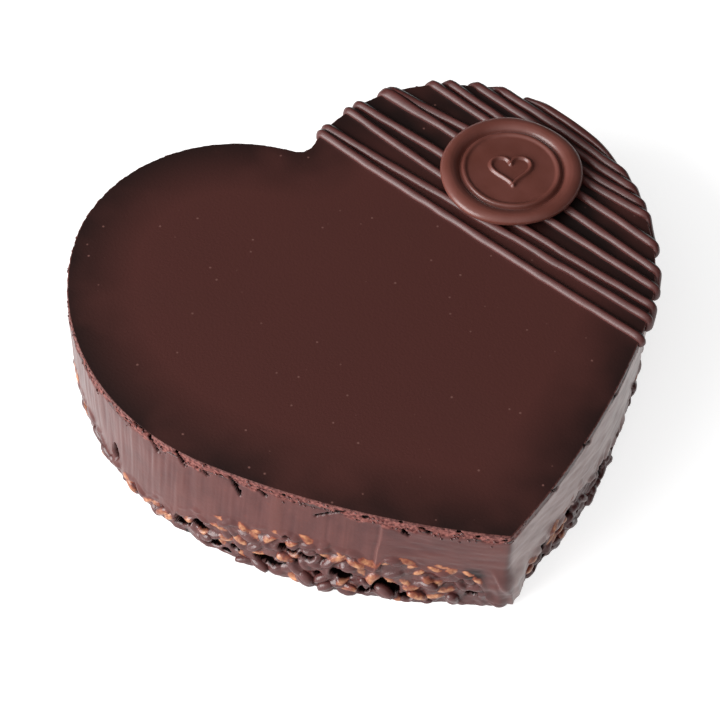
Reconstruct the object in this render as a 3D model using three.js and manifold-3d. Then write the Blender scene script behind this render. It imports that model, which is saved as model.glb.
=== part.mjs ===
// A heart-shaped chocolate cake, in millimetres, +Z up, with the origin under the middle of its flat bottom.
// From the bottom up it is a crunchy base of chocolate-bound crisped rice, a smooth layer of ganache,
// a thin poured glaze with strokes of chocolate piped over its right lobe, and a round chocolate seal.
// The heart's notch points to +Y and its tip to -Y. Places on the rim are given by their distance
// along it from the tip: positive up the right side (+X), negative up the left side.
import * as THREE from 'three';
import { mergeVertices } from 'three/addons/utils/BufferGeometryUtils.js';
import { ImprovedNoise } from 'three/addons/math/ImprovedNoise.js';
import Module from 'manifold-3d';

const wasm = await Module();
wasm.setup();

// ---- The heart's outline: tangent arcs for one half, mirrored for the other ----
const lobeRadius = 44.5;
const lobeCentre = new THREE.Vector2(32.3, 28.6);
const notchRadius = 4.2;
const shoulderRadius = 65.8;
const flankRadius = 236.1;
const tipRadius = 1.3;
const shoulderTop = THREE.MathUtils.degToRad(31.2);
const flankTop = THREE.MathUtils.degToRad(-43.4);

// ---- Heights of the layers ----
const cakeHeight = 32;
const glazeThickness = 2.8;
const baseHeight = 10.6;
const layerGap = 0.3;
const steepClearance = 2.5;
const glazeBottom = cakeHeight - glazeThickness;

// ---- Evenness of the walls ----
const rimPoints = 108;
const wallRows = 3;
const flatInset = 5;
const rimRounding = 0.7;
const crumbDepth = 0.45;
const crumbSize = 3.1;
const glazeEdge = [
  { up: 0, inset: 0.25 },
  { up: 0.4 * glazeThickness, inset: 0 },
  { up: glazeThickness - rimRounding, inset: 0.1 },
];
const smearDepth = 0.35;
const coreInset = 1.3;
const coreBumps = 0.9;
const coreBumpSize = 4.5;
const smearSize = 17;
const shortestEdge = 0.03;
const seamWave = 1.5;
const seamWaveLength = 13;
const crease = { at: -31.5, halfWidth: 2.5, depth: 0.5 };
// Where the wall leans outwards from its top, and how far it stands out of the rim line at the floor.
const leanTop = 29;
const leans = [
  { at: -52, halfWidth: 70, out: 5.4 },
  { at: 40, halfWidth: 55, out: 3.2 },
];
// Tongues of ganache over the base, from their place on the rim. A negative depth is a rise of the base.
const seamTongues = [
  { at: -91, halfWidth: 15, depth: 5 },
  { at: 0, halfWidth: 8, depth: 8.5 },
  { at: 30, halfWidth: 14, depth: -2 },
  { at: 92, halfWidth: 14, depth: 3 },
  { at: 205, halfWidth: 16, depth: 3.5 },
  { at: -190, halfWidth: 18, depth: 3 },
];

// ---- Crisped rice at the side of the base ----
const grainLengths = [4.8, 7.2];
const grainWidths = [2.3, 3.2];
const grainSpacing = 12.6;
const grainRows = [2.2, 6.0, 9.6];
// How far a grain's middle lies out of the rim line, and how far it may lie above or below its row.
const grainOut = [-0.75, -0.05];
const grainShift = [-0.8, 0.8];
// How far a grain turns out of the rim's direction, and how far it leans out of the wall, in radians.
const grainTurn = [-1.1, 1.1];
const grainLean = [-0.35, 0.35];
const grainSides = 6;
const grainBands = 3;
const grainSeed = 11;

// ---- Piped strokes: parallel lines at an angle across the right lobe ----
const strokeAngle = THREE.MathUtils.degToRad(-61.9);
const strokeRadius = 1.1;
const turnRadius = 0.95;
const strokeSides = 6;
const strokeRise = 0.3;
const strokeSteps = 4;
const turnSteps = 4;
const bendLength = 4;
const overhang = 1.6;
const droop = 2.6;
const shoulderDrop = 0.9;
// Each stroke's distance across from the origin, at its back end, its middle and its front end.
const strokes = [
  { back: 36.8, middle: 35.6, front: 36.0 },
  { back: 39.2, middle: 41.0, front: 42.8 },
  { back: 48.6, middle: 46.1, front: 47.0 },
  { back: 52.0, middle: 52.9, front: 52.3 },
  { back: 61.0, middle: 60.2, front: 57.5 },
  { back: 63.2, middle: 66.0, front: 64.3 },
  { back: 72.6, middle: 71.0, front: 71.9 },
  { back: 76.0, middle: 74.1, front: 74.6 },
  { back: 80.6, middle: 78.8, front: 77.4 },
  { back: 83.6, middle: 82.4, front: 80.0 },
  { back: 86.4, middle: 85.8, front: 83.6 },
];

// ---- The round seal ----
const sealRadius = 20;
const sealCentre = new THREE.Vector2(49.4, 30.8);
const sealThickness = 3.4;
const sealTurn = THREE.MathUtils.degToRad(-21);
const lipRadius = 15.4;
const grooveRadius = 14.3;
const ringRadius = 13.2;
const fieldDepth = 1.1;
const grooveDepth = 1.8;
const sealSegments = 36;
const lipBevel = { out: 0.9, down: 0.6 };
const ringHalfWidth = 0.4;
const ringHeight = 0.5;
const ringSlope = 0.5;
const motifSize = 5.6;
const motifLine = 0.65;
const motifRise = 0.15;
const motifPoints = 20;
const motifSteps = 28;

// ---- Marks that the cake ring left in the top of the wall: slanted gashes, from their place on the rim ----
const gashes = [
  { at: -95.6, length: 5.4, width: 1.1, slant: 0.67, top: 31.2 },
  { at: -99.2, length: 4.2, width: 0.9, slant: 1.5, top: 31.0 },
  { at: -86.5, length: 4.8, width: 1.0, slant: 0.62, top: 31.0 },
  { at: -71.3, length: 6.0, width: 0.9, slant: 0.6, top: 30.2 },
  { at: -125.0, length: 5.2, width: 0.9, slant: 0.95, top: 31.4 },
  { at: -41.5, length: 9.0, width: 0.7, slant: -0.91, top: 30.4 },
  { at: -30.2, length: 10.0, width: 0.6, slant: -0.12, top: 30.0 },
  { at: -21.0, length: 5.0, width: 0.8, slant: -1.1, top: 29.9 },
  { at: 38.0, length: 4.6, width: 0.9, slant: -0.8, top: 31.0 },
  { at: 118.0, length: 5.0, width: 0.9, slant: -0.7, top: 31.2 },
  { at: 176.0, length: 4.4, width: 0.9, slant: 0.75, top: 31.0 },
  { at: -178.0, length: 4.8, width: 0.9, slant: -0.65, top: 31.2 },
];
const gashDepth = 0.9;

// The heart's outline drawn inwards by a distance, from the tip and counterclockwise.
function heartOutline(inset) {
  const shoulderCentre = lobeCentre.clone().add(
    new THREE.Vector2(Math.cos(shoulderTop), Math.sin(shoulderTop))
      .multiplyScalar(lobeRadius - shoulderRadius));
  const flankCentre = shoulderCentre.clone().add(
    new THREE.Vector2(Math.cos(flankTop), Math.sin(flankTop))
      .multiplyScalar(shoulderRadius - flankRadius));
  const tip = Math.max(tipRadius - inset, 0.2);
  const tipY = flankCentre.y - Math.sqrt((flankRadius - inset - tip) ** 2 - flankCentre.x ** 2);
  const flankEnd = Math.atan2(tipY - flankCentre.y, -flankCentre.x);
  const notchY = lobeCentre.y + Math.sqrt((lobeRadius + notchRadius) ** 2 - lobeCentre.x ** 2);
  const lobeEnd = Math.atan2(notchY - lobeCentre.y, -lobeCentre.x);
  const heart = new THREE.Path();
  heart.absarc(0, tipY, tip, -Math.PI / 2, flankEnd, false);
  heart.absarc(flankCentre.x, flankCentre.y, flankRadius - inset, flankEnd, flankTop, false);
  heart.absarc(shoulderCentre.x, shoulderCentre.y, shoulderRadius - inset, flankTop, shoulderTop, false);
  heart.absarc(lobeCentre.x, lobeCentre.y, lobeRadius - inset, shoulderTop, lobeEnd, false);
  heart.absarc(0, notchY, notchRadius + inset, lobeEnd - Math.PI, -lobeEnd, true);
  heart.absarc(-lobeCentre.x, lobeCentre.y, lobeRadius - inset, Math.PI - lobeEnd, Math.PI - shoulderTop, false);
  heart.absarc(-shoulderCentre.x, shoulderCentre.y, shoulderRadius - inset,
    Math.PI - shoulderTop, Math.PI - flankTop, false);
  heart.absarc(-flankCentre.x, flankCentre.y, flankRadius - inset, Math.PI - flankTop, Math.PI - flankEnd, false);
  heart.absarc(0, tipY, tip, -Math.PI - flankEnd, -Math.PI / 2, false);
  return heart;
}

const outline = heartOutline(0);
const perimeter = outline.getLength();
const noise = new ImprovedNoise();

// The rim's point, outward normal and direction at a distance from the tip.
function rimAt(distance) {
  const share = THREE.MathUtils.euclideanModulo(distance, perimeter) / perimeter;
  const point = outline.getPointAt(share);
  const along = outline.getTangentAt(share);
  return { point, along, out: new THREE.Vector2(along.y, -along.x) };
}

const rim = Array.from({ length: rimPoints }, (_, i) => ({
  distance: (i * perimeter) / rimPoints,
  ...rimAt((i * perimeter) / rimPoints),
}));

// Uneven noise from -1 to 1 that runs round the rim without a seam.
function unevenness(point, z, size, layer) {
  return 1.6 * noise.noise(point.x / size, point.y / size, z / size + 10 * layer);
}

// Distance from the tip as it is given in the tables: up to half the perimeter, with its sign.
function signedDistance(distance) {
  return distance > perimeter / 2 ? distance - perimeter : distance;
}

// A smooth dip of a given half width round a place on the rim, from 0 to 1.
function dip(distance, at, halfWidth) {
  const away = Math.abs(signedDistance(distance) - at) / halfWidth;
  return away > 1 ? 0 : 0.5 + 0.5 * Math.cos(Math.PI * away);
}

// Height of the wavy line where the ganache meets the base, with tongues of ganache drawn down over it.
function seamHeight(distance, point) {
  const wave = seamWave * unevenness(point, 0, seamWaveLength, 1);
  return seamTongues.reduce((height, { at, halfWidth, depth }) => height - depth * dip(distance, at, halfWidth),
    baseHeight + wave);
}

// How far the leaning wall stands out of the rim line at a height.
function wallLean(distance, height) {
  const share = THREE.MathUtils.clamp(1 - height / leanTop, 0, 1);
  return share * leans.reduce((total, { at, halfWidth, out }) => total + out * dip(distance, at, halfWidth), 0);
}

// One row of the wall: the rim's points moved outwards, at a height that may follow the seam.
function ring(outwards, height) {
  return rim.map((place) => {
    const level = height(place);
    const moved = place.point.clone().addScaledVector(place.out, outwards(place) + wallLean(place.distance, level));
    return new THREE.Vector3(moved.x, moved.y, level);
  });
}

// A level row well inside the rim, on the inset outline, which keeps its corners apart at the tip.
function innerRing(inset, height) {
  const inner = heartOutline(inset);
  return rim.map((place) => {
    const point = inner.getPointAt(place.distance / perimeter);
    return new THREE.Vector3(point.x, point.y, height);
  });
}

// A closed solid from rows of the wall, from the bottom one up, with a flat cap at each end.
function stack(rows) {
  const count = rows[0].length;
  const index = [];
  for (let row = 0; row + 1 < rows.length; row += 1) {
    for (let i = 0; i < count; i += 1) {
      const next = (i + 1) % count;
      const low = row * count;
      const high = low + count;
      index.push(low + i, low + next, high + next, low + i, high + next, high + i);
    }
  }
  const top = (rows.length - 1) * count;
  for (const [a, b, c] of capOf(rows[0])) index.push(a, c, b);
  for (const [a, b, c] of capOf(rows.at(-1))) index.push(top + a, top + b, top + c);
  const geometry = new THREE.BufferGeometry().setFromPoints(rows.flat());
  geometry.setIndex(index);
  return geometry;
}

function capOf(row) {
  return THREE.ShapeUtils.triangulateShape(row.map((point) => new THREE.Vector2(point.x, point.y)), []);
}

function solid(geometry) {
  const bare = new THREE.BufferGeometry();
  bare.setAttribute('position', geometry.getAttribute('position'));
  bare.setIndex(geometry.getIndex());
  const merged = mergeVertices(bare, 1e-3);
  return new wasm.Manifold(new wasm.Mesh({
    numProp: 3,
    vertProperties: merged.getAttribute('position').array,
    triVerts: Uint32Array.from(merged.getIndex().array),
  }));
}

// The largest connected body: sealed hollows are filled and loose scraps are dropped.
function wholeBody(joined) {
  return joined.decompose().reduce((best, part) => (part.volume() > best.volume() ? part : best));
}

function meshOf(name, body, material) {
  const { vertProperties, triVerts } = wholeBody(body.simplify(shortestEdge)).getMesh();
  const geometry = new THREE.BufferGeometry();
  geometry.setAttribute('position', new THREE.BufferAttribute(vertProperties, 3));
  geometry.setIndex(new THREE.BufferAttribute(triVerts, 1));
  geometry.computeVertexNormals();
  const mesh = new THREE.Mesh(geometry, material);
  mesh.name = name;
  return mesh;
}

function randomFrom(seed) {
  let state = seed;
  return () => {
    state = (Math.imul(state, 1664525) + 1013904223) >>> 0;
    return state / 2 ** 32;
  };
}

// ---- Crunchy base ----

// One grain of crisped rice, lying in the wall with its long axis at an angle to the rim.
function grain(distance, height, random) {
  const { point, along, out } = rimAt(distance);
  const between = ([low, high]) => THREE.MathUtils.lerp(low, high, random());
  const turn = between(grainTurn);
  const lean = between(grainLean);
  const outward = new THREE.Vector3(out.x, out.y, 0);
  const rimward = new THREE.Vector3(along.x, along.y, 0);
  const axis = rimward.multiplyScalar(Math.cos(turn))
    .add(new THREE.Vector3(0, 0, Math.sin(turn)))
    .addScaledVector(outward, lean)
    .normalize();
  const side = new THREE.Vector3().crossVectors(axis, outward).normalize();
  const depth = new THREE.Vector3().crossVectors(side, axis);
  const length = between(grainLengths);
  const width = between(grainWidths);
  const level = height + between(grainShift);
  const centre = new THREE.Vector3(point.x, point.y, level)
    .addScaledVector(outward, between(grainOut) + wallLean(distance, level));
  const geometry = new THREE.SphereGeometry(0.5, grainSides, grainBands);
  geometry.scale(width, length, width);
  geometry.applyMatrix4(new THREE.Matrix4().makeBasis(side, axis, depth).setPosition(centre));
  return geometry;
}

function grainsRoundTheWall() {
  const random = randomFrom(grainSeed);
  const grains = [];
  grainRows.forEach((height, row) => {
    const count = Math.round(perimeter / grainSpacing);
    for (let i = 0; i < count; i += 1) {
      const distance = ((i + row / grainRows.length + 0.5 * random()) * perimeter) / count;
      grains.push(grain(distance, height, random));
    }
  });
  return grains;
}

// The base's core, bumpy between its grains, in rows from the floor to the seam and a flat top further in.
function crunchyBase(ganacheRoom) {
  const rows = Array.from({ length: wallRows + 1 }, (_, row) => ring(
    (place) => -coreInset + coreBumps * unevenness(place.point, (row * baseHeight) / wallRows, coreBumpSize, 2),
    (place) => (row / wallRows) * seamHeight(place.distance, place.point),
  ));
  let base = solid(stack([...rows, innerRing(flatInset, baseHeight)]));
  for (const geometry of grainsRoundTheWall()) base = base.add(solid(geometry));
  return base.subtract(ganacheRoom).subtract(solid(floorBlock()));
}

// The room under the cake's flat bottom, which trims the grains that reach below it.
function floorBlock() {
  const block = new THREE.BoxGeometry(240, 240, 20);
  block.translate(0, 0, -10);
  return block;
}

// ---- Ganache ----

// The ganache's wall, smeared by a palette knife. Grown by a margin, it is the room that the base leaves,
// and its slanted underside then drops further than its wall moves out, to stay clear on a steep tongue.
function ganacheRows(grow) {
  const wall = (z) => (place) => grow + smearDepth * unevenness(place.point, z, smearSize, 3)
    - crease.depth * dip(place.distance, crease.at, crease.halfWidth);
  const seam = (place) => seamHeight(place.distance, place.point) + layerGap - steepClearance * grow;
  const top = glazeBottom - layerGap;
  const rows = [
    innerRing(flatInset, baseHeight + layerGap - grow),
    ring(wall(0), seam),
  ];
  for (let row = 1; row <= wallRows; row += 1) {
    const share = row / wallRows;
    rows.push(ring(wall(share * top), (place) => THREE.MathUtils.lerp(seam(place), top, share)));
  }
  return rows;
}

// One gash: a flat lens that cuts into the wall at a slant.
function gash({ at, length, width, slant, top }) {
  const { point, along, out } = rimAt(at);
  const outward = new THREE.Vector3(out.x, out.y, 0);
  const rimward = new THREE.Vector3(along.x, along.y, 0);
  const axis = rimward.multiplyScalar(Math.sin(slant)).add(new THREE.Vector3(0, 0, -Math.cos(slant)));
  const across = new THREE.Vector3().crossVectors(outward, axis);
  const centre = new THREE.Vector3(point.x, point.y, top).addScaledVector(axis, length / 2);
  centre.addScaledVector(outward, wallLean(at, centre.z));
  const geometry = new THREE.SphereGeometry(0.5, 4, 4);
  geometry.scale(2 * gashDepth, length, width);
  geometry.applyMatrix4(new THREE.Matrix4().makeBasis(outward, axis, across).setPosition(centre));
  return geometry;
}

function cutGashes(layer) {
  return gashes.reduce((cut, place) => cut.subtract(solid(gash(place))), layer);
}

// ---- Glaze with its piped strokes ----

// The poured sheet: three crumbly rows up its edge, each with its own unevenness, and a bevel to its flat top.
function glazeSheet() {
  const rows = glazeEdge.map(({ up, inset }, row) => ring(
    (place) => -inset + crumbDepth * unevenness(place.point, row * crumbSize, crumbSize, 4),
    () => glazeBottom + up,
  ));
  return stack([...rows, ring(() => -rimRounding, () => cakeHeight)]);
}

const strokeAlong = new THREE.Vector2(Math.cos(strokeAngle), Math.sin(strokeAngle));
const strokeAcross = new THREE.Vector2(-strokeAlong.y, strokeAlong.x);

// Where a line that runs along the strokes crosses the rim: its back end and its front end.
function rimCrossings(across) {
  const crossings = rim.flatMap((place, i) => {
    const next = rim[(i + 1) % rim.length].point;
    const here = place.point.dot(strokeAcross) - across;
    const there = next.dot(strokeAcross) - across;
    if (here * there > 0) return [];
    return [place.point.clone().lerp(next, here / (here - there)).dot(strokeAlong)];
  });
  return { back: Math.min(...crossings), front: Math.max(...crossings) };
}

function onCake(along, across, height) {
  const point = strokeAlong.clone().multiplyScalar(along).addScaledVector(strokeAcross, across);
  return new THREE.Vector3(point.x, point.y, height);
}

// The point outside the rim nearest to an end of a stroke, pushed out by the overhang.
function outsideRim(end, height) {
  const away = (place) => place.point.distanceTo(new THREE.Vector2(end.x, end.y));
  const nearest = rim.reduce((best, place) => (away(place) < away(best) ? place : best));
  return new THREE.Vector3(end.x, end.y, height)
    .addScaledVector(new THREE.Vector3(nearest.out.x, nearest.out.y, 0), overhang);
}

function tube(points, radius, steps) {
  const circle = new THREE.Path().absarc(0, 0, radius, 0, 2 * Math.PI, false);
  const section = new THREE.Shape(circle.getSpacedPoints(strokeSides).slice(0, strokeSides));
  return new THREE.ExtrudeGeometry(section, {
    steps,
    curveSegments: 1,
    extrudePath: new THREE.CatmullRomCurve3(points, false, 'centripetal'),
  });
}

// A stroke's places on the glaze, from one side of the rim to the other.
function strokeEnds({ back, middle, front }) {
  const lie = cakeHeight + strokeRise;
  const ends = { back: rimCrossings(back).back, front: rimCrossings(front).front };
  return {
    backRim: onCake(ends.back, back, lie),
    backInner: onCake(ends.back + bendLength, back, lie),
    middle: onCake(0, middle, lie),
    frontInner: onCake(ends.front - bendLength, front, lie),
    frontRim: onCake(ends.front, front, lie),
  };
}

function strokeTube(stroke) {
  const { backInner, middle, frontInner } = strokeEnds(stroke);
  return tube([backInner, middle, frontInner], strokeRadius, strokeSteps);
}

// An end of a stroke that runs over the rim and hangs down free.
function freeEnd(rimPlace, inner) {
  const hanging = outsideRim(rimPlace, cakeHeight - droop);
  return tube([inner, rimPlace, outsideRim(rimPlace, cakeHeight - shoulderDrop), hanging], turnRadius, turnSteps);
}

// The turn between two strokes, hanging outside the rim.
function turnTube(one, oneInner, other, otherInner) {
  const high = cakeHeight - shoulderDrop;
  const middle = one.clone().lerp(other, 0.5);
  return tube([
    oneInner,
    one,
    outsideRim(one, high),
    outsideRim(middle, cakeHeight - droop),
    outsideRim(other, high),
    other,
    otherInner,
  ], turnRadius, 2 * turnSteps);
}

// The strokes are one thread that turns back at each end, with a free end before the first and after the last.
function glazeWithStrokes() {
  let glaze = cutGashes(solid(glazeSheet()));
  const ends = strokes.map(strokeEnds);
  for (const stroke of strokes) glaze = glaze.add(solid(strokeTube(stroke)));
  for (let i = 0; i + 1 < ends.length; i += 1) {
    const side = i % 2 === 0 ? 'back' : 'front';
    const [one, other] = [ends[i], ends[i + 1]];
    glaze = glaze.add(solid(turnTube(
      one[`${side}Rim`], one[`${side}Inner`], other[`${side}Rim`], other[`${side}Inner`])));
  }
  const first = ends[0];
  const last = ends.at(-1);
  return glaze
    .add(solid(freeEnd(first.frontRim, first.frontInner)))
    .add(solid(freeEnd(last.backRim, last.backInner)));
}

// ---- Seal ----

// The seal's section: a full rounded lip, a groove, a thin ring and a flat field inside it.
function sealSection() {
  const half = sealThickness / 2;
  const field = sealThickness - fieldDepth;
  const lip = new THREE.Path();
  lip.moveTo(0, 0);
  lip.lineTo(sealRadius - half, 0);
  lip.absarc(sealRadius - half, half, half, -Math.PI / 2, Math.PI / 2, false);
  lip.lineTo(lipRadius + lipBevel.out, sealThickness);
  lip.lineTo(lipRadius, sealThickness - lipBevel.down);
  lip.lineTo(grooveRadius, sealThickness - grooveDepth);
  lip.lineTo(ringRadius + ringHalfWidth, field + ringHeight);
  lip.lineTo(ringRadius - ringHalfWidth, field + ringHeight);
  lip.lineTo(ringRadius - ringHalfWidth - ringSlope, field);
  lip.lineTo(0, field);
  return lip.getPoints(3);
}

// A small raised heart, drawn as one round line, in the middle of the field. Its path is the heart curve of
// sines and cosines, which is 16 units from its middle to each side.
function sealMotif() {
  const points = Array.from({ length: motifPoints }, (_, i) => {
    const turn = (i / motifPoints) * 2 * Math.PI;
    const x = motifSize * Math.sin(turn) ** 3;
    const y = (motifSize / 16) * (13 * Math.cos(turn) - 5 * Math.cos(2 * turn) - 2 * Math.cos(3 * turn)
      - Math.cos(4 * turn));
    return new THREE.Vector3(x, y, sealThickness - fieldDepth + motifRise);
  });
  const circle = new THREE.Path().absarc(0, 0, motifLine, 0, 2 * Math.PI, false);
  return new THREE.ExtrudeGeometry(new THREE.Shape(circle.getSpacedPoints(strokeSides).slice(0, strokeSides)), {
    steps: motifSteps,
    curveSegments: 1,
    extrudePath: new THREE.CatmullRomCurve3(points, true),
  });
}

function seal() {
  const disc = new THREE.LatheGeometry(sealSection(), sealSegments);
  disc.rotateX(Math.PI / 2);
  return solid(disc).add(solid(sealMotif()));
}

// ---- Materials ----
const chocolateRice = new THREE.MeshStandardMaterial({ color: '#8a5a44', roughness: 0.6, metalness: 0 });
const ganache = new THREE.MeshStandardMaterial({ color: '#5d4038', roughness: 0.5, metalness: 0 });
const glaze = new THREE.MeshStandardMaterial({ color: '#41261f', roughness: 0.35, metalness: 0 });
const milkChocolate = new THREE.MeshStandardMaterial({ color: '#6a4238', roughness: 0.35, metalness: 0 });

// ---- The cake ----
const ganacheRoom = solid(stack(ganacheRows(layerGap)));
const sealMesh = meshOf('chocolate_seal', seal(), milkChocolate);
sealMesh.position.set(sealCentre.x, sealCentre.y, cakeHeight + strokeRise + strokeRadius + layerGap);
sealMesh.rotation.z = sealTurn;

const cake = new THREE.Group();
cake.add(
  meshOf('crunch_base', crunchyBase(ganacheRoom), chocolateRice),
  meshOf('ganache_layer', cutGashes(solid(stack(ganacheRows(0)))), ganache),
  meshOf('top_glaze', glazeWithStrokes(), glaze),
  sealMesh,
);

export default cake;
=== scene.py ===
"""A heart-shaped chocolate cake: crisped rice base, ganache, poured glaze, piped strokes and a round seal.

Every shape is worked out in millimetres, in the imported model's frame, and scaled to metres as it becomes
a mesh. A place on the wall is its distance along the rim from the heart's tip, counterclockwise, and its
height: the distance is negative up the left side. Relief on the wall is measured outwards from the rim.
"""
import math

import bpy
import numpy as np
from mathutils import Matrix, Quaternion, Vector


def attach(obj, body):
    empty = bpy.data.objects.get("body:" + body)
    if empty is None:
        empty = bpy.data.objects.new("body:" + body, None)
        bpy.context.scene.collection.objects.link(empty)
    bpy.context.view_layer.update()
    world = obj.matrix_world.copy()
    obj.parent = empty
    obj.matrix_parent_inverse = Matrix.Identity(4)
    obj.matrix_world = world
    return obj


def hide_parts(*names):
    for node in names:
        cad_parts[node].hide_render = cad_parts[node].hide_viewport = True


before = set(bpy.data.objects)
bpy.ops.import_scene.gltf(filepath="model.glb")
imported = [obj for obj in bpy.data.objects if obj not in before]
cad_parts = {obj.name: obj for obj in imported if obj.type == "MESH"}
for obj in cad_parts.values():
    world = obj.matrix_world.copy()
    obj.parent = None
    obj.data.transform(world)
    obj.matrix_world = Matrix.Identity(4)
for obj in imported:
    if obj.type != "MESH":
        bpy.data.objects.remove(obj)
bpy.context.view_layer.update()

MM = 0.001

# ---- The heart's outline: tangent arcs for one half, mirrored for the other ----
LOBE_RADIUS = 44.5
LOBE_CENTRE = np.array([32.3, 28.6])
NOTCH_RADIUS = 4.2
SHOULDER_RADIUS = 65.8
FLANK_RADIUS = 236.1
TIP_RADIUS = 1.3
SHOULDER_TOP = math.radians(31.2)
FLANK_TOP = math.radians(-43.4)
MIDDLE = np.array([0.0, 5.0])

# ---- Heights ----
CAKE_HEIGHT = 32.0
GLAZE_BOTTOM = 29.05
GLAZE_ROUNDING = 0.4
LOWEST_SEAM = 0.2

# The wall leans outwards below a level: place, half width, and how far it stands out at the floor.
LEAN_TOP = 29.0
LEANS = ((-52, 70, 5.4), (40, 55, 3.2))

# ---- Fineness of the wall's grids ----
COLUMNS = 1400
GANACHE_ROWS = 50
GLAZE_EDGE_ROWS = 16
GLAZE_TOP_ROWS = 26
BASE_ROWS = 46

# ---- Marks on the wall ----
NOTCH_PLACE = 242
# The crease's place, at this height.
CREASE = -31.5
CREASE_TOP = 29.8
COMBED_FROM = -34.0
SMEAR_DEPTH = 0.15
SMEAR_SLANT = 0.35
STRIP_BOTTOM = 28.9
GASH_CUT = 2.0
# The seam between the ganache and the base: place and height of its turns, joined by straight lines.
SEAM = (
    (-195, 6.6), (-176, 9.6), (-150, 9.6), (-122, 8.5), (-113, 3.5), (-106, 2.2), (-95, 3.0), (-88, 4.4),
    (-80, 9.4), (-67, 11.6), (-55, 15.2), (-48, 14.4), (-43, 13.2), (-39, 14.4), (-35, 10.4), (-32, 10.2),
    (-30, 15.0), (-25, 14.8), (-19, 12.4), (-10, 11.6), (-6, 11.2), (-3.5, 3.0), (0.5, -1.0), (6, 0.5),
    (9, 6.0), (14, 8.5), (25, 9.5), (31, 12.0), (33.5, 13.0), (38, 10.0), (44, 8.5), (52, 8.0),
    (62, 4.5), (72, 6.5), (90, 6.8), (120, 9.6), (160, 6.4), (200, 9.6),
)
# A drip below the seam: place, half width and length.
DRIP = (-86.6, 1.3, 4.0)
# The fold of ganache at the tip.
FOLD_PLACE = 1.0
FOLD_HALF_WIDTH = 12.0
FLAP_HEIGHT = 1.5
# Gashes in the crumbly strip: place and height of the upper end and of the lower end, width and depth.
GASHES = (
    (-178.0, 31.3, -181.0, 28.0, 0.6, 1.0),
    (-125.0, 32.2, -120.8, 29.0, 0.6, 1.0),
    (-100.2, 31.6, -95.6, 31.0, 0.6, 1.1),
    (-96.2, 32.4, -92.2, 27.0, 0.8, 1.3),
    (-86.5, 31.2, -83.8, 27.3, 0.7, 1.2),
    (-78.5, 28.6, -77.6, 27.6, 0.5, 0.8),
    (-71.6, 30.4, -68.2, 25.0, 0.6, 1.1),
    (-63.6, 29.2, -62.0, 27.8, 0.6, 0.8),
    (-41.2, 30.9, -48.4, 26.2, 0.45, 0.3),
    (-26.6, 28.2, -25.2, 26.9, 0.6, 0.8),
    (-21.8, 30.4, -19.6, 29.2, 0.6, 0.8),
    (18.0, 31.0, 21.0, 28.6, 0.6, 0.9),
    (34.0, 31.4, 38.0, 28.4, 0.6, 1.0),
    (52.0, 31.0, 55.0, 29.0, 0.6, 0.9),
    (118.0, 31.4, 121.5, 27.6, 0.6, 1.0),
    (176.0, 31.2, 173.0, 27.8, 0.6, 1.0),
)
PIT_DEPTH = 0.5
PIT_SPACING = 2.4
CRUMBS = 420
CRUMB_SIZE = (0.35, 1.1)

HOLE_DEPTH = 3.4
HOLE_SPREAD = 1.3
HOLE_SPACING = 7.5
# Holes between the grains, painted black as deep shade: place, height, half length and half height. Others are
# spread by chance.
HOLES = (
    (-109.0, 9.8, 0.9, 2.2), (-78.5, 6.8, 1.6, 1.1), (-74.6, 2.6, 1.4, 1.0), (-68.6, 4.2, 0.9, 0.7),
    (-59.8, 4.8, 2.8, 1.1), (-54.6, 11.2, 1.8, 0.9), (-49.5, 11.0, 1.6, 1.0), (-55.0, 16.2, 0.8, 0.5),
    (-46.0, 5.0, 0.9, 0.8), (-40.6, 7.4, 2.0, 1.3), (-34.6, 2.6, 1.0, 0.8), (-29.6, 5.0, 2.6, 1.9),
    (-24.0, 2.2, 1.3, 0.9), (-18.0, 1.2, 1.3, 0.9), (16.5, 8.0, 1.0, 1.4), (28.0, 10.0, 1.2, 2.2),
    (46.5, 7.4, 1.2, 2.4), (64.0, 1.0, 1.4, 1.2),
)

# ---- Crisped rice ----
GRAIN_LENGTH = (4.2, 7.0)
GRAIN_WIDTH = (2.2, 3.2)
GRAIN_ROWS = (1.3, 3.5, 5.7, 7.9, 10.1, 12.3, 14.5, 16.7)
GRAIN_SPACING = 4.4
GRAIN_RISE = 1.3
# How far from its middle a grain can reach, and how far a loose grain stands out past a bound one.
GRAIN_REACH = 3.8
LOOSE_GRAIN_LIFT = 0.45
GRAIN_SIDES = 8
GRAIN_BANDS = 5
# The deepest that the gaps between the bound grains go.
GAP_DEPTH = -3.2

# ---- Where the layers close inside the cake: heights, and how far in as a share of the way to its middle ----
BASE_TOP = 10.0
GANACHE_BOTTOM = 10.9
LAYER_LAP = 1.5
DEEP_INSIDE = 0.08
JUST_INSIDE = 0.02
LAYER_OVERLAP = 0.3

# ---- Piped thread: each stroke's distance across from the origin, at its back end, middle and front end ----
STROKE_ANGLE = math.radians(-61.9)
ALONG = np.array([math.cos(STROKE_ANGLE), math.sin(STROKE_ANGLE)])
ACROSS = np.array([-ALONG[1], ALONG[0]])
STROKES = (
    (36.8, 35.6, 36.0), (39.2, 41.0, 42.8), (48.6, 46.1, 47.0), (52.0, 52.9, 52.3), (61.0, 60.2, 57.5),
    (61.8, 66.0, 64.3), (72.6, 71.0, 71.9), (76.0, 74.1, 74.6), (80.6, 78.8, 77.4), (83.6, 82.4, 80.0),
    (86.4, 85.8, 83.6),
)
STROKE_HALF_WIDTH = 1.5
STROKE_HALF_HEIGHT = 1.2
STROKE_CREST = 0.42
STROKE_LIE = 0.48
THREAD_STEP = 0.45
THREAD_SIDES = 12
BEND_STEPS = 16
OVERHANG = 1.4
LOOP_DEPTH = 2.2
FOLD_RADIUS = 0.9
FREE_END = 2.2
# A thicker stretch near the back, its place along and across the strokes, and its half lengths.
THICK_PLACE = (-47, 60.5)
THICK_REACH = (9, 3)

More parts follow.
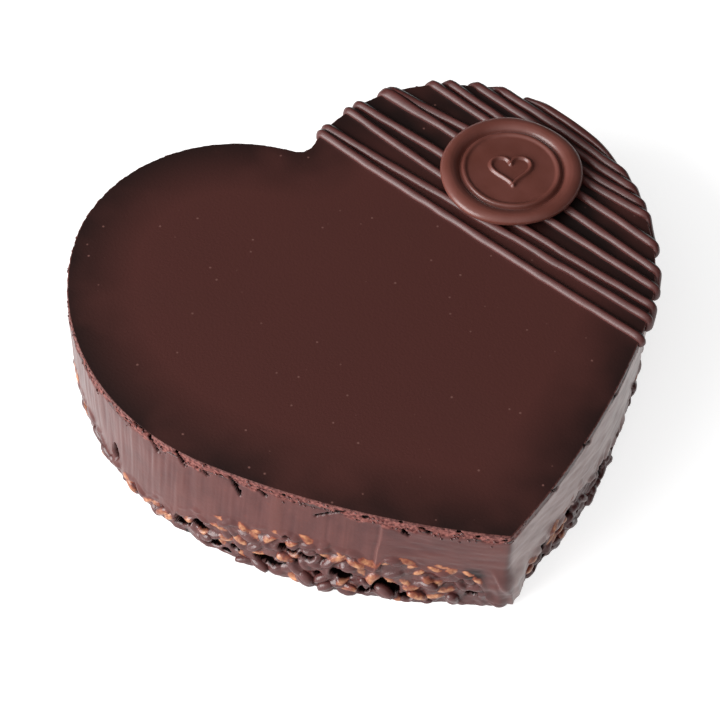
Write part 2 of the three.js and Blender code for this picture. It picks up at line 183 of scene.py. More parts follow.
# ---- The round seal ----
SEAL_RADIUS = 20.0
SEAL_CENTRE = np.array([49.4, 30.8])
SEAL_BOTTOM = 33.7
SEAL_THICKNESS = 3.4
SEAL_TURN = math.radians(-21)
LIP_RADIUS = 15.4
LIP_ROUNDING = 2.6
LIP_STEPS = 18
GROOVE_RADIUS = 14.3
RING_RADIUS = 13.2
FIELD_DEPTH = 1.1
GROOVE_DEPTH = 2.1
MOTIF_SIZE = 5.6
MOTIF_LINE = 0.65
MOTIF_RISE = 0.75

# ---- The camera, fitted to the photograph ----
AIM = Vector((-13.63, -11.64, 32.0))
AZIMUTH = math.radians(-26.0)
ELEVATION = math.radians(53.63)
DISTANCE = 524.9
ROLL = math.radians(3.92)
LENS = 101.6
SENSOR = 36

# ---- The light: a wide bright window and a key light, by their directions round the cake from +X ----
KEY_DIRECTION = math.radians(180)
KEY_ELEVATION = math.radians(22)
KEY_DISTANCE = 1600
KEY_SIZE = 1250
KEY_WATTS = 49
WINDOW_DIRECTION = math.radians(205)
WINDOW_ELEVATION = math.radians(16)
WINDOW_BRIGHTNESS = 1.22
DARK_SIDE_BRIGHTNESS = 0.05
FLOOR_GLOW = 0.72
FLOOR_HALF_WIDTH = 2500


# ---- Noise ----

def hashed(cell, seed):
    """A value from -1 to 1 for each whole-numbered cell: its numbers and the seed, mixed by multiplying."""
    mixed = cell[..., 0] * 374761393 + cell[..., 1] * 668265263 + cell[..., 2] * 1103515245 + seed * 12345701
    mixed = ((mixed ^ (mixed >> 13)) * 1274126177) & 0xFFFFFFFF
    mixed = mixed ^ (mixed >> 16)
    return (mixed & 0xFFFF) / 32767.5 - 1


def noise(points, size, seed=0):
    """Smooth noise from -1 to 1: the hash at a lattice's corners of this size, blended by a smoothstep."""
    scaled = points / size
    cell = np.floor(scaled).astype(np.int64)
    part = scaled - cell
    blend = part * part * (3 - 2 * part)
    total = np.zeros(points.shape[:-1])
    for corner in np.ndindex(2, 2, 2):
        weight = np.prod(np.where(np.array(corner) == 1, blend, 1 - blend), axis=-1)
        total += weight * hashed(cell + np.array(corner), seed)
    return total


def rough(points, size, octaves=3, seed=0):
    """Noise added over octaves, each half the size and half the height of the one before."""
    return sum(noise(points, size / 2 ** octave, seed + octave) / 2 ** octave for octave in range(octaves))


def pebbles(points, size, seed=0):
    """Domes of about this size: one minus the distance to the nearest point scattered in a lattice."""
    scaled = points / size
    home = np.floor(scaled).astype(np.int64)
    nearest = np.full(points.shape[:-1], 9.0)
    for step in np.ndindex(3, 3, 3):
        cell = home + np.array(step) - 1
        spot = cell + 0.5 + 0.45 * np.stack([hashed(cell, seed + axis) for axis in range(3)], -1)
        nearest = np.minimum(nearest, np.linalg.norm(scaled - spot, axis=-1))
    return 1 - nearest


def rise(low, high, value):
    """0 below low, 1 above high, and a smooth rise between them, or a fall where low is above high."""
    share = np.clip((value - low) / (high - low), 0, 1)
    return share * share * (3 - 2 * share)


def bump(value, centre, half_width):
    """A round bump, 1 at the centre and 0 a half width away: a raised cosine."""
    away = np.clip(np.abs(value - centre) / half_width, 0, 1)
    return 0.5 + 0.5 * np.cos(math.pi * away)


# ---- The rim ----

def heart_arcs():
    """The outline's nine arcs, counterclockwise from the tip: centre, radius, first angle and sweep of each."""
    shoulder_centre = LOBE_CENTRE + (LOBE_RADIUS - SHOULDER_RADIUS) * np.array(
        [math.cos(SHOULDER_TOP), math.sin(SHOULDER_TOP)])
    flank_centre = shoulder_centre + (SHOULDER_RADIUS - FLANK_RADIUS) * np.array(
        [math.cos(FLANK_TOP), math.sin(FLANK_TOP)])
    tip_y = flank_centre[1] - math.sqrt((FLANK_RADIUS - TIP_RADIUS) ** 2 - flank_centre[0] ** 2)
    flank_end = math.atan2(tip_y - flank_centre[1], -flank_centre[0])
    notch_y = LOBE_CENTRE[1] + math.sqrt((LOBE_RADIUS + NOTCH_RADIUS) ** 2 - LOBE_CENTRE[0] ** 2)
    lobe_end = math.atan2(notch_y - LOBE_CENTRE[1], -LOBE_CENTRE[0])
    right = [
        ((0, tip_y), TIP_RADIUS, -math.pi / 2, flank_end + math.pi / 2),
        (tuple(flank_centre), FLANK_RADIUS, flank_end, FLANK_TOP - flank_end),
        (tuple(shoulder_centre), SHOULDER_RADIUS, FLANK_TOP, SHOULDER_TOP - FLANK_TOP),
        (tuple(LOBE_CENTRE), LOBE_RADIUS, SHOULDER_TOP, lobe_end - SHOULDER_TOP),
    ]
    notch_start = lobe_end - math.pi
    notch = [((0, notch_y), NOTCH_RADIUS, notch_start, -math.pi - 2 * notch_start)]
    left = [
        ((-x, y), radius, math.pi - (start + sweep), sweep)
        for (x, y), radius, start, sweep in reversed(right)
    ]
    return right + notch + left


ARCS = heart_arcs()
ARC_CENTRE = np.array([arc[0] for arc in ARCS])
ARC_RADIUS = np.array([arc[1] for arc in ARCS])
ARC_START = np.array([arc[2] for arc in ARCS])
ARC_SWEEP = np.array([arc[3] for arc in ARCS])
ARC_ENDS = np.cumsum(ARC_RADIUS * np.abs(ARC_SWEEP))
RIM_LENGTH = ARC_ENDS[-1]


def rim(distance):
    """The rim's point and outward normal at distances from the tip, by the angle reached on the arc there."""
    along = np.mod(distance, RIM_LENGTH)
    arc = np.searchsorted(ARC_ENDS, along, side="right").clip(max=len(ARCS) - 1)
    into = along - (ARC_ENDS - ARC_RADIUS * np.abs(ARC_SWEEP))[arc]
    turn = np.sign(ARC_SWEEP[arc])
    angle = ARC_START[arc] + turn * into / ARC_RADIUS[arc]
    direction = np.stack([np.cos(angle), np.sin(angle)], -1)
    return ARC_CENTRE[arc] + ARC_RADIUS[arc][..., None] * direction, direction * turn[..., None]


def signed(along):
    """Distances round the rim from the tip, brought to between minus and plus half of its length."""
    return np.mod(along + RIM_LENGTH / 2, RIM_LENGTH) - RIM_LENGTH / 2


COLUMN = np.arange(COLUMNS) * RIM_LENGTH / COLUMNS
SIGNED_COLUMN = signed(COLUMN)
RIM_POINT, RIM_OUT = rim(COLUMN)


def lean(along, height):
    """How far the wall leans out of the rim line: the listed bumps, growing evenly from LEAN_TOP downwards."""
    return np.clip(1 - height / LEAN_TOP, 0, 1) * sum(out * bump(along, at, half) for at, half, out in LEANS)


def wall(outwards, height):
    """Rows of the leaning wall: the rim's points moved outwards along its normals, each at its height."""
    flat = RIM_POINT + (outwards + lean(SIGNED_COLUMN, height))[..., None] * RIM_OUT
    return np.concatenate([flat, np.broadcast_to(height, outwards.shape)[..., None]], -1)


def inner_row(row, share, height):
    """A row moved a share of the way to the heart's middle, at a level height."""
    flat = row[:, :2] + share * (MIDDLE - row[:, :2])
    return np.concatenate([flat, np.full((len(row), 1), height)], -1)[None]


# ---- Meshes ----

def skin_faces(count, around):
    """The faces over this many rows of points: quads between rows, and a fan to a pole at each end."""
    column = np.arange(around)
    after = (column + 1) % around
    start = around * np.arange(count - 1)[:, None]
    quads = np.stack([start + column, start + after, start + around + after, start + around + column], -1)
    pole = np.full(around, around * count)
    last = around * (count - 1)
    fans = [np.stack([pole, after, column], -1), np.stack([pole + 1, last + column, last + after], -1)]
    return quads.reshape(-1, 4), np.concatenate(fans)


def skin(rows):
    """A closed surface over rows of points, from the bottom up, with poles at the means of its end rows."""
    quads, fans = skin_faces(*rows.shape[:2])
    points = np.concatenate([rows.reshape(-1, 3), rows[:1].mean(axis=1), rows[-1:].mean(axis=1)])
    return points, quads.tolist() + fans.tolist()


def make_piece(name, points, faces, material, slot, node, values=None):
    """A smooth mesh object in metres from points in millimetres, with an attribute for each named value."""
    mesh = bpy.data.meshes.new(name)
    mesh.from_pydata(points * MM, [], faces)
    for label, value in (values or {}).items():
        mesh.attributes.new(label, "FLOAT", "POINT").data.foreach_set("value", value.astype(np.float32))
    mesh.shade_smooth()
    mesh.materials.append(material)
    piece = bpy.data.objects.new(name, mesh)
    bpy.context.collection.objects.link(piece)
    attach(piece, "root")
    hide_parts(node)


def with_ends(value, before, after):
    """A value of the wall's rows, with zeros for the rows inside the cake before and after, and for the poles."""
    return np.concatenate([np.zeros(before * COLUMNS), value.ravel(), np.zeros(after * COLUMNS + 2)])


def copies_on_wall(grid, poles, size, place, height, outwards, turn, tilt):
    """Copies of one small closed grid set on the wall: points, their ways from its middle, normals and faces.

    A copy's long axis is the rim's direction turned towards upright, and tilted out of the wall. The grid, with
    its poles on that axis, is scaled by the three sizes across, into and along it, and moved to its place."""
    point, out = rim(place)
    zeros = np.zeros((len(place), 1))
    normal = np.concatenate([out, zeros], -1)
    tangent = np.concatenate([-out[:, 1:], out[:, :1], zeros], -1)
    upright = np.array([0.0, 0.0, 1.0])
    long_axis = np.cos(turn)[:, None] * tangent + np.sin(turn)[:, None] * upright + tilt * normal
    long_axis /= np.linalg.norm(long_axis, axis=-1, keepdims=True)
    side = np.cross(long_axis, normal)
    side /= np.linalg.norm(side, axis=-1, keepdims=True)
    axes = np.stack([side, np.cross(side, long_axis), long_axis], 1)
    local = np.concatenate([grid.reshape(-1, 3), [[0, 0, poles[0]], [0, 0, poles[1]]]])
    away = (local[None] * size[:, None]) @ axes
    centre = np.concatenate([point, height[:, None]], -1) + outwards[:, None] * normal
    first = len(local) * np.arange(len(place))[:, None, None]
    quads, fans = skin_faces(*grid.shape[:2])
    faces = (quads + first).reshape(-1, 4).tolist() + (fans + first).reshape(-1, 3).tolist()
    return centre[:, None] + away, away, normal, faces


# ---- Relief of the wall ----

def segment_distance(along, height, start, end):
    """Distance on the unrolled wall from each point to the segment between two places."""
    across = np.array(end) - np.array(start)
    beside, above = along - start[0], height - start[1]
    share = np.clip((beside * across[0] + above * across[1]) / (across @ across), 0, 1)
    return np.hypot(beside - share * across[0], above - share * across[1])


def streaks(along, height, length, thickness, seed):
    """Noise on the unrolled wall, drawn out to this length along the rim and this thickness up it."""
    place = np.stack([along / length, height / thickness, np.zeros_like(along)], -1)
    return rough(place, size=1.0, octaves=3, seed=seed)


def before_notch(along, fade_from):
    """1 round the rim, falling to 0 at the notch, so that noise made on the unrolled wall joins up there."""
    return 1 - rise(fade_from, NOTCH_PLACE, np.abs(along))


def seam_height(along):
    """The ragged seam over the base: the listed heights, a drip, and noise that is wilder at the back."""
    place = np.stack([along, np.zeros_like(along), np.zeros_like(along)], -1)
    wild = 1 + 0.8 * rise(120, 150, np.abs(along))
    waves = 0.9 * wild * noise(place, size=7.0, seed=31)
    waves += 0.55 * noise(place, size=2.6, seed=32) + 0.25 * noise(place, size=1.1, seed=33)
    at, half_width, length = DRIP
    listed = np.interp(along, *np.transpose(SEAM))
    return listed + waves * before_notch(along, 232) - length * bump(along, at, half_width)


def smear(along, height):
    """The palette knife's marks: combed upright on the left side, and drawn along the rim past the crease.

    On the right flank the marks slant, and they are shorter."""
    combed = rise(COMBED_FROM + 3, COMBED_FROM - 3, along)
    upright = 0.09 * streaks(along, height, length=1.1, thickness=22.0, seed=41)
    upright += 0.13 * streaks(along, height, length=4.5, thickness=30.0, seed=42)
    flank = rise(4.0, 14.0, along)
    slanted = height + SMEAR_SLANT * flank * along
    level = SMEAR_DEPTH * streaks(along, slanted, length=13.0 - 5 * flank, thickness=3.2, seed=43)
    level += 0.04 * streaks(along, slanted, length=6.0, thickness=0.8, seed=44)
    return before_notch(along, 234) * (combed * upright + (1 - combed) * level)


def crease_place(height):
    """Where the crease runs at each height: it leans a little, and wavers by a sine."""
    return CREASE + 0.05 * (height - CREASE_TOP) + 0.12 * np.sin(height / 1.7)


def crease_relief(along, height):
    """The upright crease where the knife was lifted: a narrow groove, and a flap that stands proud beside it."""
    place = crease_place(height)
    groove = -0.15 * np.exp(-((along - place + 0.7) / 0.4) ** 2)
    flap = 0.45 * rise(place - 0.4, place + 0.1, along) * rise(place + 7.0, place + 1.0, along)
    return (groove + flap) * rise(9.0, 12.0, height)


def tip_fold(along, height):
    """Ganache folded over at the tip: it stands proud down to the floor, in waves of two sines, under a flap.

    The flap's left edge is a ridge that curves away to the left as it rises, by a square of the height."""
    folds = 0.2 * np.sin(1.6 * along + 0.4 * height) + 0.12 * np.sin(1.1 * height + 0.7 * along)
    ridge = 1.2 - 0.016 * height ** 2
    flap = FLAP_HEIGHT * rise(ridge - 0.7, ridge + 0.3, along) * rise(11.0, 3.0, along)
    return rise(18.0, 8.0, height) * (bump(along, FOLD_PLACE, FOLD_HALF_WIDTH) * (0.2 + folds) + flap)


def grain_list():
    """The grains of the base as arrays: rows of places up the wall, each shifted, sized and turned by chance.

    More of them are bare near the seam left of the tip, fewer on the right flank, and none at the tip."""
    count = int(RIM_LENGTH / GRAIN_SPACING)
    cell = np.stack(np.meshgrid(np.arange(count), np.arange(len(GRAIN_ROWS)), [0], indexing="ij"), -1)
    cell = cell.reshape(-1, 3)
    chance = [hashed(cell, 111 + draw) for draw in range(8)]
    row = cell[:, 1]
    place = signed((cell[:, 0] + 0.5 * (row % 2) + 0.35 * chance[0]) * RIM_LENGTH / count)
    level = np.array(GRAIN_ROWS)[row] + 0.7 * chance[1]
    shown = 0.18 + 0.34 * bump(level - seam_height(place), -1.5, 4.5) - 0.28 * bump(place, 60, 55)
    shown += 0.26 * bump(place, -22, 16) - 0.8 * bump(place, 1, 9)
    proud = 0.5 * bump(place, -45, 40) - 0.5 * bump(place, -145, 40)
    return {
        "place": place,
        "height": level,
        "outwards": -1.3 + 0.65 * chance[2] + proud,
        "length": np.interp(chance[3], (-1, 1), GRAIN_LENGTH),
        "width": np.interp(chance[4], (-1, 1), GRAIN_WIDTH),
        "turn": 0.9 * chance[5],
        "bare": 0.5 + 0.5 * chance[6] < shown,
        "loose": chance[7] > 0.15 + 0.09 * np.array(GRAIN_ROWS)[row],
    }


def grain_relief(along, height):
    """The wall's grains as a relief, the highest of their domes, and how bare each toasted one's crest is.

    A dome is the upper half of an ellipsoid over the grain's outline, turned in the wall's plane."""
    grains = grain_list()
    relief = np.full(along.shape, GAP_DEPTH)
    crest = np.zeros(along.shape)
    step = RIM_LENGTH / COLUMNS
    reach = np.arange(-int(GRAIN_REACH / step), int(GRAIN_REACH / step) + 1)
    for grain in range(len(grains["place"])):
        place, level, outwards, length, width, turn, bare, _ = (value[grain] for value in grains.values())
        columns = (int(round(place / step)) + reach) % COLUMNS
        across = signed(along[:, columns] - place)
        up = height[:, columns] - level
        long_way = (across * math.cos(turn) + up * math.sin(turn)) / (0.5 * length)
        short_way = (up * math.cos(turn) - across * math.sin(turn)) / (0.5 * width)
        inside = np.clip(1 - long_way ** 2 - short_way ** 2, 0, 1)
        dome = np.where(inside > 0, outwards + GRAIN_RISE * np.sqrt(inside), -math.inf)
        higher = dome > relief[:, columns]
        relief[:, columns] = np.where(higher, dome, relief[:, columns])
        crest[:, columns] = np.where(higher, bare * np.sqrt(inside), crest[:, columns])
    return relief, crest


def hole_share(along, height):
    """1 deep in the holes between the grains: the listed ones, and others spread by chance, low on the wall.

    A listed hole is an ellipse with a ragged edge, and it fades from the middle outwards."""
    spread = pebbles(on_wall(along, height), HOLE_SPACING, seed=93)
    deepest = rise(0.74, 0.80, spread) * rise(9.0, 7.5, height)
    for place, level, half_length, half_height in HOLES:
        away = np.hypot((along - place) / half_length, (height - level) / half_height) / HOLE_SPREAD
        away += 0.2 * streaks(along, height, length=3.0, thickness=3.0, seed=95)
        deepest = np.maximum(deepest, rise(1.25, 0.7, away))
    return deepest


def gash_depth(along, height):
    """The listed gashes in millimetres: each is cut to its depth within its width of a segment, raggedly."""
    ragged = 0.5 * streaks(along, height, length=0.8, thickness=0.8, seed=61)
    total = np.zeros_like(along)
    for upper, top, lower, bottom, width, depth in GASHES:
        away = segment_distance(along, height, (upper, top), (lower, bottom)) + ragged * width
        total = np.maximum(total, depth * rise(0.95 * width, 0.45 * width, away))
    return total


def on_wall(along, height):
    """The points of the bare wall at these places."""
    point, _ = rim(along)
    return np.concatenate([point, height[..., None]], -1)


def strip_share(along, height):
    """1 in the crumbly strip under the rim and 0 on the smeared wall, with a ragged edge between them."""
    edge = STRIP_BOTTOM + 0.9 * streaks(along, np.zeros_like(along), length=4.2, thickness=1.0, seed=62)
    return rise(edge - 0.3, edge + 0.3, height)


def pits(points):
    """1 in the small pits of the strip's broken face and 0 between them."""
    return rise(0.70, 0.84, pebbles(points, PIT_SPACING, seed=72) + 0.1 * noise(points, size=0.9, seed=73))


def pitted(along):
    """How deep the strip's pits are: they are nearly smeared shut on the right flank."""
    return 1 - 0.75 * rise(2.0, 8.0, along) * rise(150.0, 120.0, along)


def wall_relief(along, height):
    """How far the ganache and the edge of the glaze stand out of the rim, from all their marks together."""
    points = on_wall(along, height)
    smooth = 0.22 * rough(points, size=17.0, octaves=2, seed=81)
    smooth += smear(along, height) + crease_relief(along, height) + tip_fold(along, height)
    broken = 0.15 * rough(points, size=1.1, octaves=2, seed=71) - PIT_DEPTH * pits(points)
    broken = broken * pitted(along) - 0.1
    strip = strip_share(along, height)
    return smooth * (1 - strip) + strip * broken - GASH_CUT * gash_depth(along, height)


def hollow_share(along, height):
    """How deep a place lies in a pit of the strip or in a gash, from 0 to 1."""
    in_pit = strip_share(along, height) * pits(on_wall(along, height)) * pitted(along)
    return np.clip(np.maximum(in_pit, 2 * gash_depth(along, height)), 0, 1)


# ---- The pieces ----

def base_core(material):
    """The base: grains bound with chocolate as one relief, with deep holes, and a flat top inside the cake.

    The relief is the higher of the grains and the chocolate between them, less the holes."""
    seam = np.maximum(seam_height(SIGNED_COLUMN), LOWEST_SEAM)
    share = np.linspace(0, 1, BASE_ROWS)[:, None]
    height = share * (seam + LAYER_LAP)
    along = np.broadcast_to(SIGNED_COLUMN, height.shape)
    points = on_wall(along, height)
    grains, crest = grain_relief(along, height)
    holes = hole_share(along, height) * rise(0.6, 2.6, height)
    filling = -0.5 + 0.5 * rough(points, size=3.8, octaves=3, seed=92)
    outwards = np.maximum(grains, filling) + 0.1 * rough(points, size=1.2, octaves=2, seed=94)
    outwards -= HOLE_DEPTH * holes
    outwards = np.where(share == 0, np.minimum(outwards, -0.8), outwards)
    rows = wall(outwards, height)
    rows = np.concatenate([rows, inner_row(rows[-1], DEEP_INSIDE, BASE_TOP)])
    # Painted shade: the deepest gaps between the grains go dark, with the holes.
    gap_shade = 0.8 * rise(-0.6, -1.1, outwards)
    values = {
        "crest": with_ends(crest * (grains > filling) * (1 - holes), 0, 1),
        "hollow": with_ends(np.maximum(holes, gap_shade), 0, 1),
    }
    make_piece("crisped_rice_crust", *skin(rows), material, "chocolate_crisped_rice", "crunch_base", values)


def flank_sheen_share(along, height):
    """How strongly the pale reflection painted on the right flank shows, in faint streaks."""
    flank = rise(0.2, 2.4, along) * rise(150.0, 110.0, along)
    uneven = streaks(along, height + SMEAR_SLANT * along, length=7.0, thickness=2.4, seed=45)
    return flank * np.clip(0.8 + 0.35 * uneven, 0, 1)


def ganache_wall(material):
    """The ganache from its ragged lower lip to the glaze, by the wall's relief, closed inside the cake.

    Just over the lip it is thin, and the highest grains of the base show through it. Its tone is the knife's
    marks, with a painted highlight along the crease and painted shade left of the tip."""
    seam = np.maximum(seam_height(SIGNED_COLUMN), LOWEST_SEAM)
    share = np.linspace(0, 1, GANACHE_ROWS)[:, None] ** 1.15
    height = seam + share * (GLAZE_BOTTOM - seam)
    along = np.broadcast_to(SIGNED_COLUMN, height.shape)
    smooth = wall_relief(along, height)
    grains, crest = grain_relief(along, height)
    thin = rise(seam + 5.0, seam + 1.5, height) * (1 - bump(along, 0.5, FOLD_HALF_WIDTH))
    through = thin * np.clip(grains + 0.75 - smooth, 0, 2)
    lip = rise(0.8, 0.0, height - seam) ** 2
    holes = hole_share(along, height)
    rows = wall(smooth + 0.7 * through - lip - HOLE_DEPTH * holes, height)
    bottom = inner_row(rows[0], DEEP_INSIDE, GANACHE_BOTTOM)
    top = inner_row(rows[-1], JUST_INSIDE, GLAZE_BOTTOM + LAYER_OVERLAP)
    # Painted highlight: a thin pale line along the crease's edge.
    crease_highlight = 3.2 * np.exp(-((along - crease_place(height)) / 0.24) ** 2) * rise(9.0, 12.0, height)
    # Painted shade: a dark patch on the wall just left of the tip's fold.
    shade = 4.0 * bump(along, -7.5, 5.5) * bump(height, 13.5, 6.5)
    values = {
        "knife_tone_and_painted_light": with_ends(smear(along, height) / SMEAR_DEPTH + crease_highlight - shade, 1, 1),
        "strip": with_ends(strip_share(along, height) * pitted(along), 1, 1),
        "crest": with_ends(crest * (through > 0.05) * (1 - holes), 1, 1),
        "hollow": with_ends(np.maximum(holes, hollow_share(along, height)), 1, 1),
        # Painted reflection: the pale grey of the right flank's glancing reflection.
        "painted_flank_sheen": with_ends(flank_sheen_share(along, height), 1, 1),
    }
    points, faces = skin(np.concatenate([bottom, rows, top]))
    make_piece("spread_ganache", points, faces, material, "ganache", "ganache_layer", values)


def rim_distance(points):
    """How far points on the top lie from the rim: the nearest of points spread along it."""
    samples, _ = rim(np.arange(0, RIM_LENGTH, 1.5))
    nearest = np.full(len(points), np.inf)
    for sample in samples:
        nearest = np.minimum(nearest, np.hypot(points[:, 0] - sample[0], points[:, 1] - sample[1]))
    return nearest


def glaze_sheet(material):
    """The poured glaze: its crumbly edge, a quarter round at the rim, and a top that is faintly uneven."""
    edge = np.linspace(0, 1, GLAZE_EDGE_ROWS)[:, None]
    height = GLAZE_BOTTOM + edge * (CAKE_HEIGHT - GLAZE_ROUNDING - GLAZE_BOTTOM) + np.zeros(COLUMNS)
    along = np.broadcast_to(SIGNED_COLUMN, height.shape)
    side = wall(wall_relief(along, height), height)
    angle = np.linspace(0, math.pi / 2, 7)[1:, None]
    lip = wall_relief(along[:1], height[-1:]) * np.cos(angle) ** 0.7
    rounding = wall(lip - GLAZE_ROUNDING * (1 - np.cos(angle)),
                    CAKE_HEIGHT - GLAZE_ROUNDING * (1 - np.sin(angle)) + np.zeros(COLUMNS))
    inwards = np.linspace(0.01, 1, GLAZE_TOP_ROWS)[:-1, None, None] ** 1.6
    flat = rounding[-1][None] + inwards * (np.append(MIDDLE, CAKE_HEIGHT) - rounding[-1][None])
    distance = rim_distance(flat.reshape(-1, 3)).reshape(flat.shape[:2])
    flat[..., 2] += 0.12 * noise(flat, size=26.0, seed=101) * rise(1.5, 12, distance)
    bottom = inner_row(side[0], JUST_INSIDE, GLAZE_BOTTOM - LAYER_OVERLAP)
    points, faces = skin(np.concatenate([bottom, side, rounding, flat]))
    inside = np.concatenate([np.zeros((1 + len(side) + len(rounding), COLUMNS)), distance])
    broken = strip_share(along, height) * pitted(along)
    # Painted highlight: the quarter round at the rim takes six tenths of the crumbs' paler colour, a light line
    # along the edge.
    strip = np.concatenate([np.ones((1, COLUMNS)), broken, np.full((len(rounding), COLUMNS), 0.6)])
    values = {
        "inside": np.append(inside, [0, 60]),
        "strip": with_ends(strip, 0, len(flat)),
        "hollow": with_ends(hollow_share(along, height), 1, len(rounding) + len(flat)),
        # Painted shade: how far a place lies into the band of the piped strokes, where the glaze is painted near
        # black.
        "thread_shade": rise(36.5, 56, points[:, :2] @ ACROSS),
    }
    make_piece("poured_glaze", points, faces, material, "dark_glaze", "top_glaze", values)


def grain_grid():
    """A puffed grain about its own axes, one unit long and wide: rows of latitude, pinched along one side."""
    latitude = np.linspace(-math.pi / 2, math.pi / 2, GRAIN_BANDS + 2)[1:-1, None]
    around = np.linspace(0, 2 * math.pi, GRAIN_SIDES, endpoint=False)
    radius = 0.5 * np.cos(latitude) ** 0.8 * (1 - 0.16 * np.cos(around))
    level = 0.5 * np.sin(latitude) + 0 * around
    return np.stack([radius * np.cos(around), radius * np.sin(around), level], -1)


def standing_grains():
    """The grains that stand out of the crust: the loose ones under the seam, clear of the holes and the tip."""
    grains = grain_list()
    keep = grains["loose"] & (grains["height"] < seam_height(grains["place"]) - 0.6)
    keep &= np.abs(grains["place"] - 0.5) > 6.5
    for end in (-0.35, 0, 0.35):
        along = grains["place"] + end * grains["length"] * np.cos(grains["turn"])
        height = grains["height"] + end * grains["length"] * np.sin(grains["turn"])
        keep &= hole_share(along, height) < 0.5
    return {name: value[keep] for name, value in grains.items()}


def rice_grains(material):
    """The standing grains, coated with chocolate or wiped bare at their crests, and each crumpled by noise.

    The crest of a grain is how far out of the wall each of its points faces, from 0 to 1."""
    grains = standing_grains()
    turn, length, width = grains["turn"], grains["length"], grains["width"]
    height = np.maximum(grains["height"], 0.5 * np.abs(np.sin(turn)) * length + 0.4 * width)
    outwards = grains["outwards"] + LOOSE_GRAIN_LIFT + lean(grains["place"], height)
    tilt = 0.35 * np.sin(40 * grains["place"])[:, None]
    size = np.stack([width, width, length], -1)
    points, away, normal, faces = copies_on_wall(
        grain_grid(), (-0.5, 0.5), size, grains["place"], height, outwards, turn, tilt)
    facing = np.clip(np.sum(away * normal[:, None], -1) / (0.5 * width[:, None]), 0, 1)
    values = {"crest": (facing * grains["bare"][:, None]).ravel()}
    crumple = 0.3 * rough(points, size=2.1, octaves=2, seed=121)[..., None]
    points += crumple * away / np.linalg.norm(away, axis=-1, keepdims=True)
    points[..., 2] = np.maximum(points[..., 2], 0.02)
    points = points.reshape(-1, 3)
    make_piece("crisped_rice_grains", points, faces, material, "chocolate_crisped_rice", "crunch_base", values)


def crumb_grid():
    """A crumb a millimetre long: a block with five sides and two bands, like a chip off a bar."""
    around = np.linspace(0, 2 * math.pi, 5, endpoint=False)
    band = np.array([[-0.3], [0.32]])
    radius = np.array([[0.34], [0.3]])
    return np.stack([radius * np.cos(around), radius * np.sin(around), band + 0 * around], -1)


def loose_crumbs(material):
    """Crumbs of broken glaze that cling to the strip under the rim, glossy where they split."""
    cell = np.stack([np.arange(CRUMBS), np.zeros(CRUMBS), np.zeros(CRUMBS)], -1).astype(np.int64)
    chance = [hashed(cell, 161 + draw) for draw in range(6)]
    place = 0.5 * RIM_LENGTH * chance[0]
    height = 30.1 + 1.5 * chance[1] - 1.6 * (chance[5] > 0.8)
    outwards = wall_relief(place[None], height[None])[0] + lean(place, height) + 0.05
    size = np.interp(chance[3], (-1, 1), CRUMB_SIZE) * pitted(place)
    points, _, _, faces = copies_on_wall(
        crumb_grid(), (-0.42, 0.45), np.stack([size] * 3, -1), place, height, outwards, 3 * chance[2], 0.4)
    make_piece("glaze_crumbs", points.reshape(-1, 3), faces, material, "dark_glaze", "top_glaze")


def stroke_line(stroke):
    """One stroke on the flat top, back to front: its distance across is a parabola through the listed three."""
    rim_along, rim_across = RIM_POINT @ ALONG, RIM_POINT @ ACROSS
    back, middle, front = STROKES[stroke]
    back_end = np.min(rim_along[np.abs(rim_across - back) < 0.6])
    front_end = np.max(rim_along[np.abs(rim_across - front) < 0.6])
    back_end -= FREE_END if stroke == len(STROKES) - 1 else OVERHANG
    front_end += FREE_END if stroke == 0 else OVERHANG
    along = np.arange(back_end, front_end, THREAD_STEP)
    share = (along - along[0]) / (along[-1] - along[0])
    across = back * (1 - share) * (1 - 2 * share) + 4 * middle * share * (1 - share)
    across += front * share * (2 * share - 1)
    return np.stack([along, across], -1)


def thread_path():
    """The whole thread drawn flat: strokes taken front to back and back to front in turn, joined by bends.

    A bend is a half turn between two strokes: a cosine across, and a half sine outwards along them."""
    parts = []
    for stroke in range(len(STROKES)):
        line = stroke_line(stroke)
        parts.append(line[::-1] if stroke % 2 == 0 else line)
        if stroke + 1 == len(STROKES):
            break
        following = stroke_line(stroke + 1)
        start = parts[-1][-1]
        end = following[0] if stroke % 2 == 0 else following[-1]
        outwards = -1 if stroke % 2 == 0 else 1
        depth = min(LOOP_DEPTH, 0.6 * abs(end[1] - start[1]))
        share = np.linspace(0, 1, BEND_STEPS)[1:-1]
        along = start[0] + (end[0] - start[0]) * share + outwards * depth * np.sin(math.pi * share)
        across = start[1] + (end[1] - start[1]) * (0.5 - 0.5 * np.cos(math.pi * share))
        parts.append(np.stack([along, across], -1))
    return np.concatenate(parts)


def folded(flat):
    """The flat path folded down over the rim, and the direction in which it lies out of the cake.

    From a fold radius inside the rim a point turns round a quarter circle, and then hangs down the wall."""
    samples, normals = rim(np.arange(0, RIM_LENGTH, 0.25))
    nearest = np.linalg.norm(flat[:, None] - samples, axis=-1).argmin(axis=1)
    point, out = samples[nearest], normals[nearest]
    beyond = np.maximum(np.sum((flat - point) * out, axis=-1) + FOLD_RADIUS, 0)
    angle = np.minimum(beyond / FOLD_RADIUS, math.pi / 2)
    hang = np.maximum(beyond - FOLD_RADIUS * math.pi / 2, 0)
    reach = FOLD_RADIUS * (np.sin(angle) - 1)
    place = np.where(beyond[:, None] > 0, point + reach[:, None] * out, flat)
    drop = FOLD_RADIUS * (1 - np.cos(angle)) + hang
    up = np.concatenate([np.sin(angle)[:, None] * out, np.cos(angle)[:, None]], -1)
    return np.concatenate([place, (CAKE_HEIGHT - drop)[:, None]], -1), up


def smoothed(path, rounds):
    """A path or profile with every point between its ends moved halfway to the middle of its neighbours."""
    for _ in range(rounds):
        path[1:-1] = 0.5 * path[1:-1] + 0.25 * (path[:-2] + path[2:])
    return path


